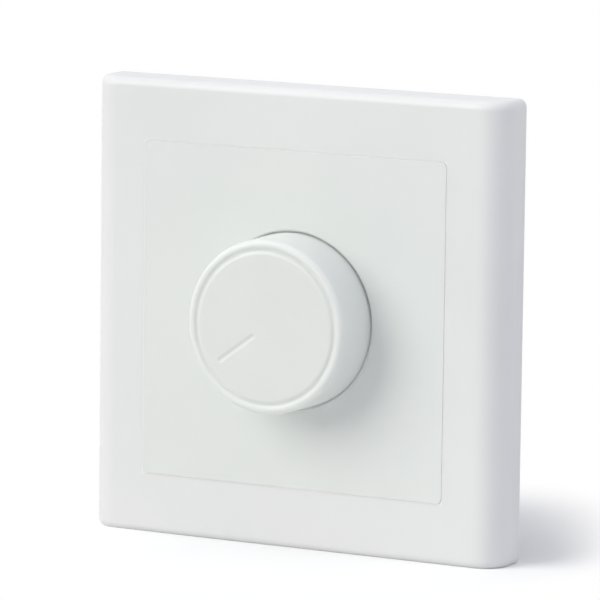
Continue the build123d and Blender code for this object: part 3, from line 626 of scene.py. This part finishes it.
def paintBoard(name, look):
    finish, tree, shader = startFinish(name)
    place = piecePlace(tree, (1, 0, 1))
    edges = []
    for feature in ("F1", "F2"):
        cells = tree.nodes.new("ShaderNodeTexVoronoi")
        cells.feature = feature
        cells.distance = "CHEBYCHEV"
        cells.inputs["Scale"].default_value = 1 / look["trackPitch"]
        cells.inputs["Randomness"].default_value = look["trackWander"]
        tree.links.new(place, cells.inputs["Vector"])
        edges.append(cells.outputs["Distance"])
    gap = calc(tree, "SUBTRACT", edges[1], edges[0])
    track = calc(tree, "LESS_THAN", gap, look["trackWidth"])
    mask = shade(tree, track, look["colour"], look["trackColour"])
    facing = tree.nodes.new("ShaderNodeNewGeometry")
    axes = tree.nodes.new("ShaderNodeSeparateXYZ")
    tree.links.new(facing.outputs["Normal"], axes.inputs[0])
    rim = calc(tree, "LESS_THAN", calc(tree, "ABSOLUTE", axes.outputs["Y"], 0), look["edgeFacing"])
    tree.links.new(shade(tree, rim, mask, look["edgeColour"]), shader.inputs["Base Color"])
    weave = specks(tree, piecePlace(tree), look["weaveSize"])
    tree.links.new(spread(tree, weave, *look["roughness"]), shader.inputs["Roughness"])
    relief(tree, shader, track, look["trackHeight"], look["trackStrength"])
    return finish


dress(paintBoard("greenMask", boardLook), "circuit_board")


# Track of the potentiometer: pressed paper laminate with a ring of carbon

trackLook = {
    "colour": (0.300, 0.160, 0.070),
    "fibreColour": (0.220, 0.110, 0.045),
    "carbonColour": (0.022, 0.022, 0.024),
    "carbonMiddle": 0.0057,
    "carbonHalf": 0.0010,
    "roughness": (0.34, 0.52),
    "fibreSize": 0.0006,
    "fibreRun": (0.25, 1, 1),
    "fibreHeight": 0.000012,
    "fibreStrength": 0.4,
}


def layTrack(name, look):
    finish, tree, shader = startFinish(name)
    fibres = specks(tree, piecePlace(tree, look["fibreRun"]), look["fibreSize"], detail=4.0)
    paper = shade(tree, spread(tree, fibres, 0, 1), look["colour"], look["fibreColour"])
    carbon = within(tree, fromAxis(tree), look["carbonMiddle"], look["carbonHalf"])
    tree.links.new(shade(tree, carbon, paper, look["carbonColour"]), shader.inputs["Base Color"])
    tree.links.new(spread(tree, fibres, *look["roughness"]), shader.inputs["Roughness"])
    relief(tree, shader, fibres, look["fibreHeight"], look["fibreStrength"])
    return finish


dress(layTrack("carbonTrack", trackLook), "pot_track")
print("board pieces done")


# New pieces, two of which stand for plain solids

def addPiece(name, points, faces, finish, body, stands=None):
    mesh = bpy.data.meshes.new(name)
    mesh.from_pydata(points, [], faces)
    mesh.validate()
    mesh.shade_smooth()
    mesh.materials.append(finish)
    piece = bpy.data.objects.new(name, mesh)
    scene.collection.objects.link(piece)
    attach(piece, body)
    if stands:
        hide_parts(stands)
    return piece


def sweepWire(path, radius, sides):
    points, faces = [], []
    lastSide = None
    for i, middle in enumerate(path):
        before = path[max(i - 1, 0)]
        after = path[min(i + 1, len(path) - 1)]
        ahead = (after - before).normalized()
        side = lastSide - ahead * lastSide.dot(ahead) if lastSide else ahead.orthogonal()
        side.normalize()
        lastSide = side
        other = ahead.cross(side)
        for k in range(sides):
            turn = 2 * math.pi * k / sides
            points.append(middle + (side * math.cos(turn) + other * math.sin(turn)) * radius)
    rows = len(path)
    for i in range(rows - 1):
        for k in range(sides):
            n = (k + 1) % sides
            faces.append((i * sides + k, i * sides + n, (i + 1) * sides + n, (i + 1) * sides + k))
    faces.append(tuple(range(sides - 1, -1, -1)))
    faces.append(tuple((rows - 1) * sides + k for k in range(sides)))
    return points, faces


# Return spring of the switch: end coils closed, open coils between

returnSpringLook = {
    "turns": 4.0,
    "endTurns": 0.8,
    "endPitch": 1.02,  # of the wire's thickness
    "wireRadius": 0.00022,
    "steps": 40,
    "sides": 12,
}


def coilSpring(look):
    low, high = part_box("switch_spring")
    wire, turns, closed = look["wireRadius"], look["turns"], look["endTurns"]
    reach = (high.x - low.x) / 2 - wire
    length = high.y - low.y
    span = length - 2 * wire
    # the closed coils take a wire's thickness a turn, the open ones the rest
    endRise = closed * 2 * wire * look["endPitch"]
    line = []
    for i in range(int(turns * look["steps"]) + 1):
        turned = i / look["steps"]
        if turned <= closed:
            up = turned / closed * endRise
        elif turned >= turns - closed:
            up = span - (turns - turned) / closed * endRise
        else:
            up = endRise + (turned - closed) / (turns - 2 * closed) * (span - 2 * endRise)
        angle = 2 * math.pi * turned
        line.append(Vector((reach * math.cos(angle), low.y + wire + up, reach * math.sin(angle))))
    points, faces = sweepWire(line, wire, look["sides"])
    piece = addPiece(
        "return_spring", points, faces, springSteel, "housing", "switch_spring",
    )
    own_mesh(piece)


# Winding of the choke: a layer of turns over the drum, and its two ends through the board

windingLook = {
    "turns": 18,
    "rowsPerTurn": 8,
    "segments": 56,
    "innerRadius": 0.0030,
    "dip": 0.92,  # how far the surface falls between two turns
    "pinSize": 0.0007,
    "pinOffset": 0.00495,
    "pinSteps": 6,
    "pinSides": 12,
}


def windChoke(look):
    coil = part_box("choke_winding")
    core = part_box("choke_core")
    middleX = (core[0].x + core[1].x) / 2
    middleZ = (core[0].z + core[1].z) / 2
    outer = (coil[1].x - coil[0].x) / 2
    start = coil[0].y
    end = core[1].y - (start - core[0].y)
    wire = (end - start) / look["turns"] / 2
    rows = look["turns"] * look["rowsPerTurn"]
    segments = look["segments"]
    points, faces = [], []

    def addPoint(k, reach, along):
        angle = 2 * math.pi * k / segments
        points.append((middleX + reach * math.cos(angle), along, middleZ + reach * math.sin(angle)))

    for i in range(rows + 1):
        share = i / rows
        for k in range(segments):
            phase = (share * look["turns"] + k / segments) % 1.0 * 2 - 1
            bulge = math.sqrt(max(0.0, 1 - phase * phase * look["dip"]))
            addPoint(k, outer - wire + wire * bulge, start + share * (end - start))
    for i in range(rows):
        here, above = i * segments, (i + 1) * segments
        for k in range(segments):
            n = (k + 1) % segments
            faces.append((here + k, above + k, above + n, here + n))
    inner = len(points)
    for along in (start, end):
        for k in range(segments):
            addPoint(k, look["innerRadius"], along)
    last = rows * segments
    for k in range(segments):
        n = (k + 1) % segments
        faces.append((k, n, inner + n, inner + k))
        faces.append((last + n, last + k, inner + segments + k, inner + segments + n))
        faces.append((inner + k, inner + n, inner + segments + n, inner + segments + k))
    # its two ends, through the board
    steps = look["pinSteps"]
    for side in (-1, 1):
        centre = Vector((middleX + side * look["pinOffset"], 0, middleZ))
        line = [centre + Vector((0, end + (coil[1].y - end) * i / steps, 0)) for i in range(steps + 1)]
        pinPoints, pinFaces = sweepWire(line, look["pinSize"] / 2, look["pinSides"])
        base = len(points)
        points.extend(tuple(p) for p in pinPoints)
        faces.extend(tuple(base + v for v in face) for face in pinFaces)
    addPiece("choke_turns", points, faces, enamelCopper, "housing", "choke_winding")


# Gap shade ring: a thin soft lip in the mouth of the well, close to the knob; its grey is painted shade
# in the gap, and its lower side is painted pale

gapShadeRingLook = {
    # painted shade: the grey of the gap round the knob
    "colour": (0.53, 0.54, 0.53),
    "otherColour": (0.49, 0.50, 0.49),
    # painted light: the pale lower side of the ring
    "paintedLightColour": (0.96, 0.965, 0.96),
    "paleFullBelow": -0.008,
    "paleGoneAbove": 0.005,
    "roughness": (0.55, 0.70),
    "ior": 1.45,
    "patchSize": 0.004,
    "rubSize": 0.0015,
    "grainSize": 0.0003,
    "grainHeight": 0.00002,
    "grainStrength": 0.4,
    "wellRadius": 0.0166,
    "innerRadius": 0.01642,
    "setBack": 0.00026,
    "depth": 0.0009,
    "segments": 192,
    "bends": 6,
}


def lipRing(look):
    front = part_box("centre_plate")[0].y + look["setBack"]
    middle = (look["wellRadius"] + look["innerRadius"]) / 2
    half = (look["wellRadius"] - look["innerRadius"]) / 2
    profile = [(look["wellRadius"], front + look["depth"])]
    for i in range(look["bends"] + 1):
        bend = math.pi * i / look["bends"]
        profile.append((middle + half * math.cos(bend), front + half * (1 - math.sin(bend))))
    profile.append((look["innerRadius"], front + look["depth"]))
    rows, segments = len(profile), look["segments"]
    points, faces = [], []
    for k in range(segments):
        angle = 2 * math.pi * k / segments
        across, up = math.cos(angle), math.sin(angle)
        points.extend((reach * across, along, reach * up) for reach, along in profile)
        n = (k + 1) % segments
        for i in range(rows):
            j = (i + 1) % rows
            faces.append((k * rows + i, n * rows + i, n * rows + j, k * rows + j))
    # painted shade above and painted light below
    gapShadeLip = moulding("gapShadeLip", look, paintedPaleBelow)
    addPiece("gap_shade_ring", points, faces, gapShadeLip, "housing")


lipRing(gapShadeRingLook)
coilSpring(returnSpringLook)
windChoke(windingLook)
print("dust ring, spring and choke winding done")


# Floor, light and camera

floorLook = {
    "halfWidth": 1.6,
    "colour": 0.80,
    "shownColour": 0.98,  # as the camera sees it
    "settle": 0.0003,
    "shadowMiddle": 0.011,
    "shadowBend": 30.5,
    "shadowFull": 0.0414,
    "shadowEnd": 0.0823,
}
lampLook = {
    "keyFrom": (-0.546, -0.683, 0.485),
    "keyAngle": 46,
    "keyStrength": 1.79,
    "keyColour": (1.012, 1.012, 0.962),
    "skyBase": (0, 0, 0),
    # soft panels of light: where each hangs, how narrow it is, its colour
    "skyPanels": (
        ((0, 0, 1), 3, (1.44, 1.44, 1.51)),
        ((1, 0, 0.1), 3, (0.832, 0.874, 0.965)),
        ((-1, 0, 0.1), 3, (0.19, 0.19, 0.18)),
        ((0.7, -0.7, 0.1), 4, (0.14, 0.14, 0.18)),
    ),
}
viewLook = {
    "turn": 28.19,
    "rise": 8.29,
    "roll": 0.72,
    "distance": 1.036,
    "aimRight": 0.00147,
    "aimUp": 0.00381,
    "lens": 336.7,
    "sensor": 36,
    "nearest": 0.05,
    "farthest": 20,
}


def seenDirectly(tree):
    rays = tree.nodes.new("ShaderNodeLightPath")
    glossy, through = rays.outputs["Is Glossy Ray"], rays.outputs["Is Transmission Ray"]
    mirrored = calc(tree, "MAXIMUM", glossy, through)
    return calc(tree, "MAXIMUM", rays.outputs["Is Camera Ray"], mirrored)


def layFloor(look):
    half = look["halfWidth"]
    level = cadBox[0][2] + look["settle"]  # the plate's lower edge settles a little into the sheet
    corners = [(x * half, y * half, level) for x, y in ((-1, -1), (1, -1), (1, 1), (-1, 1))]
    mesh = bpy.data.meshes.new("floor")
    mesh.from_pydata(corners, [], [(0, 1, 2, 3)])
    floor = bpy.data.objects.new("floor", mesh)
    scene.collection.objects.link(floor)
    finish = bpy.data.materials.new("paleFloor")
    finish.use_nodes = True
    tree = finish.node_tree
    tree.nodes.clear()
    plain = tree.nodes.new("ShaderNodeBsdfDiffuse")
    plain.inputs["Color"].default_value = (look["colour"],) * 3 + (1,)
    shown = tree.nodes.new("ShaderNodeBsdfDiffuse")
    shown.inputs["Color"].default_value = (look["shownColour"],) * 3 + (1,)
    white = tree.nodes.new("ShaderNodeEmission")
    # the shadow fades into plain white before and behind the part, and sooner to its sides
    side = calc(tree, "SUBTRACT", pieceAxis(tree, "X"), look["shadowMiddle"])
    sideways = calc(tree, "MULTIPLY", calc(tree, "MULTIPLY", side, side), look["shadowBend"])
    away = calc(tree, "ADD", calc(tree, "ABSOLUTE", pieceAxis(tree, "Y"), 0), sideways)
    fade = tree.nodes.new("ShaderNodeMapRange")
    fade.interpolation_type = "SMOOTHSTEP"
    fade.inputs["From Min"].default_value = look["shadowFull"]
    fade.inputs["From Max"].default_value = look["shadowEnd"]
    tree.links.new(away, fade.inputs["Value"])
    both = tree.nodes.new("ShaderNodeMixShader")
    tree.links.new(fade.outputs["Result"], both.inputs["Fac"])
    tree.links.new(shown.outputs[0], both.inputs[1])
    tree.links.new(white.outputs[0], both.inputs[2])
    pick = tree.nodes.new("ShaderNodeMixShader")
    tree.links.new(seenDirectly(tree), pick.inputs["Fac"])
    tree.links.new(plain.outputs[0], pick.inputs[1])
    tree.links.new(both.outputs[0], pick.inputs[2])
    out = tree.nodes.new("ShaderNodeOutputMaterial")
    tree.links.new(pick.outputs[0], out.inputs["Surface"])
    mesh.materials.append(finish)


def skyPanel(tree, towards, narrow):
    coords = tree.nodes.new("ShaderNodeTexCoord")
    facing = tree.nodes.new("ShaderNodeVectorMath")
    facing.operation = "DOT_PRODUCT"
    facing.inputs[1].default_value = Vector(towards).normalized()
    tree.links.new(coords.outputs["Generated"], facing.inputs[0])
    return calc(tree, "POWER", calc(tree, "MAXIMUM", facing.outputs["Value"], 0), narrow)


def hangLamps(look):
    lamp = bpy.data.lights.new("keyLamp", "SUN")
    lamp.angle = math.radians(look["keyAngle"])
    lamp.energy = look["keyStrength"]
    lamp.color = look["keyColour"]
    key = bpy.data.objects.new("keyLamp", lamp)
    towards = Vector(look["keyFrom"]).normalized()
    key.location = towards
    key.rotation_euler = towards.to_track_quat("Z", "Y").to_euler()
    scene.collection.objects.link(key)
    sky = bpy.data.worlds.new("studioSky")
    scene.world = sky
    sky.use_nodes = True
    tree = sky.node_tree
    tree.nodes.clear()
    soft = look["skyBase"]
    for towards, narrow, colour in look["skyPanels"]:
        soft = shade(tree, skyPanel(tree, towards, narrow), soft, colour, "ADD")
    seen = shade(tree, seenDirectly(tree), soft, (1, 1, 1))
    glow = tree.nodes.new("ShaderNodeBackground")
    tree.links.new(seen, glow.inputs["Color"])
    out = tree.nodes.new("ShaderNodeOutputWorld")
    tree.links.new(glow.outputs[0], out.inputs["Surface"])


def setCamera(look):
    turn, rise, roll = (math.radians(look[k]) for k in ("turn", "rise", "roll"))
    back = Vector((math.sin(turn) * math.cos(rise), -math.cos(turn) * math.cos(rise), math.sin(rise)))
    right = Vector((math.cos(turn), math.sin(turn), 0))
    up = back.cross(right)
    frontCentre = Vector((0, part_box("cover_frame")[0].y, 0))
    place = frontCentre + back * look["distance"] + right * look["aimRight"] + up * look["aimUp"]
    across = right * math.cos(roll) + up * math.sin(roll)
    upright = up * math.cos(roll) - right * math.sin(roll)
    axes = Matrix((across, upright, back)).transposed().to_4x4()
    lens = bpy.data.cameras.new("studioCamera")
    lens.lens = look["lens"]
    lens.sensor_width = look["sensor"]
    lens.clip_start = look["nearest"]
    lens.clip_end = look["farthest"]
    camera = bpy.data.objects.new("studioCamera", lens)
    camera.matrix_world = Matrix.Translation(place) @ axes
    scene.collection.objects.link(camera)
    scene.camera = camera


layFloor(floorLook)
hangLamps(lampLook)
setCamera(viewLook)
scene.view_settings.view_transform = "Standard"
print("floor, lamps and camera done")
